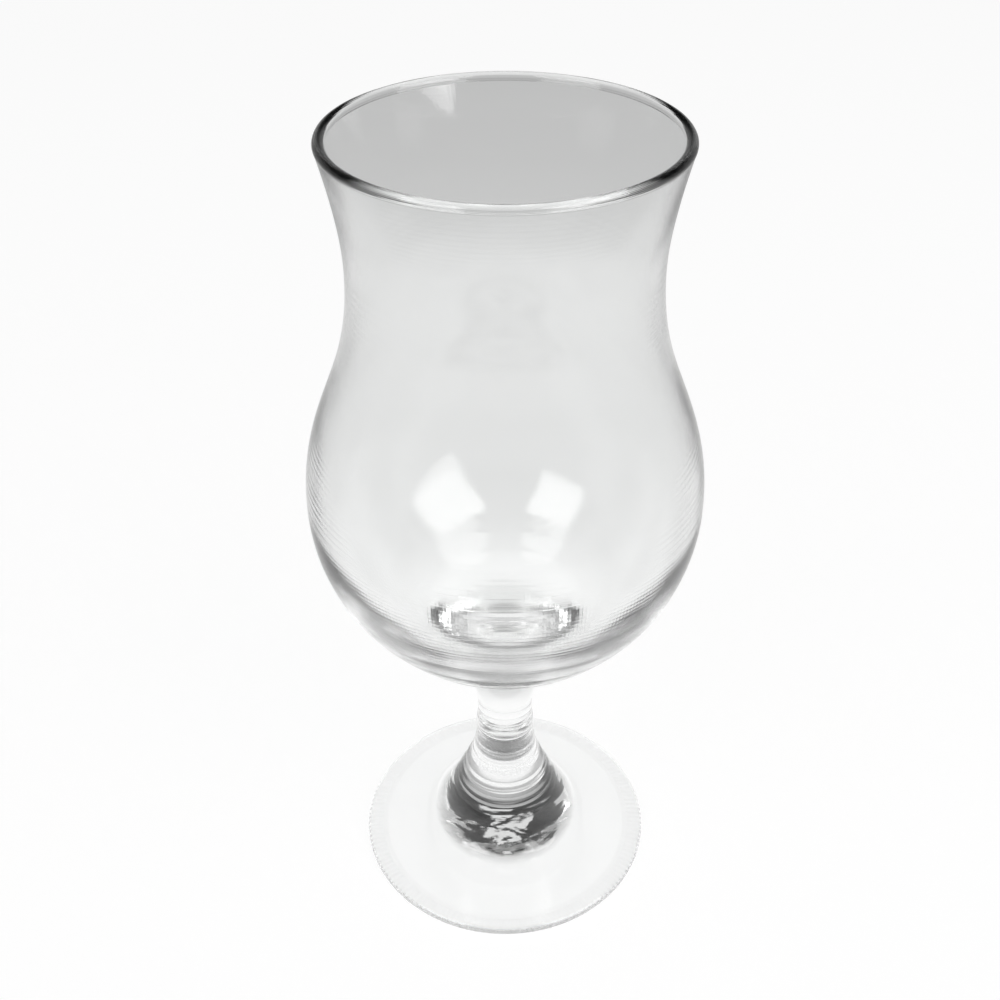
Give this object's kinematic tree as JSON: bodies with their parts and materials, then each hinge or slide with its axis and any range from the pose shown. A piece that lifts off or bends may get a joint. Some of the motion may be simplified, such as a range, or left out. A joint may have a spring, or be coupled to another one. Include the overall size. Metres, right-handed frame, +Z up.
{
  "type": "stemmed beer goblet",
  "caption": "Clear glass beer goblet: a bulbous bowl drawn in to a waist under a flared rim, a short solid stem and a round foot that rises in a flared hub.",
  "frame": {"origin": "on the table, under the middle of the foot", "axes": "+Z up along the goblet's axis of revolution, from the foot to the mouth; X and Y lie in the table, and no direction in it is special"},
  "size_m": [0.0844, 0.0844, 0.1864],
  "materials": {
    "clear_glass": "clear, fire-polished"
  },
  "bodies": {
    "root": {"bowl": "clear_glass", "stem": "clear_glass", "foot": "clear_glass"}
  },
  "joints": []
}
